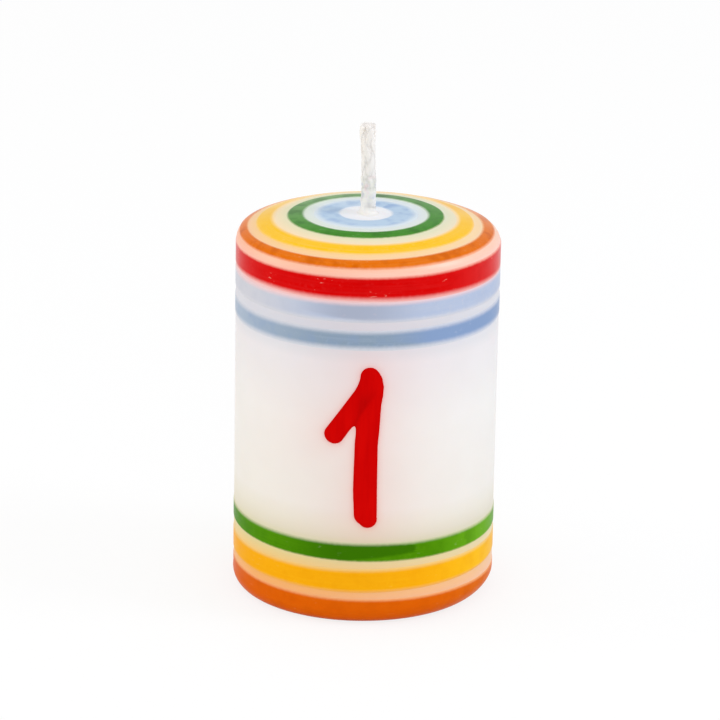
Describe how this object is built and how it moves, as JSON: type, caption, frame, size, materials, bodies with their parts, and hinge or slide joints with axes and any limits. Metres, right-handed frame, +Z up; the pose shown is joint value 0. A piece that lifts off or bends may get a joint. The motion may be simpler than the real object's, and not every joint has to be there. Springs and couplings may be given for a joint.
{
  "type": "pillar candle",
  "caption": "Small round pillar candle with a dipped white wax jacket, painted colour rings and bands, a painted red numeral and a cotton wick that bends.",
  "frame": {"origin": "centre of the flat base that the candle stands on", "axes": "+Z up along the candle, -Y towards the side with the numeral, +X to the right as the numeral is read"},
  "size_m": [0.04, 0.04, 0.0727],
  "materials": {
    "tin_plate": "tin-plated steel sheet, dull silver",
    "cotton_wick": "braided white cotton, primed with wax",
    "core_wax": "cast paraffin wax, off-white, satin",
    "white_wax": "dipped hard paraffin wax, white, soft gloss",
    "pale_blue_wax_paint": "brushed-on pale blue wax under clear wax",
    "blue_wax_paint": "brushed-on blue wax under clear wax",
    "green_wax_paint": "brushed-on green wax under clear wax",
    "yellow_wax_paint": "brushed-on yellow wax under clear wax",
    "orange_wax_paint": "brushed-on orange wax under clear wax",
    "red_wax_paint": "brushed-on red wax under clear wax"
  },
  "bodies": {
    "candle": {"wick_sustainer": "tin_plate", "wick": "cotton_wick", "wax_core": "core_wax", "white_jacket": "white_wax", "wick_collar": "white_wax", "blue_top_ring": "pale_blue_wax_paint", "green_top_ring": "green_wax_paint", "yellow_top_ring": "yellow_wax_paint", "orange_top_ring": "orange_wax_paint", "red_shoulder_band": "red_wax_paint", "sky_blue_band": "pale_blue_wax_paint", "blue_band": "blue_wax_paint", "green_base_band": "green_wax_paint", "yellow_base_band": "yellow_wax_paint", "orange_base_band": "orange_wax_paint", "number_one": "red_wax_paint"},
    "wick_tip": {"wick_end": "cotton_wick"}
  },
  "joints": [
    {"name": "wick_bend", "type": "hinge", "parent": "candle", "child": "wick_tip", "pos_m": [0.0001, 0, 0.06145], "axis": [0, 1, 0], "range_deg": [-60, 60]}
  ]
}
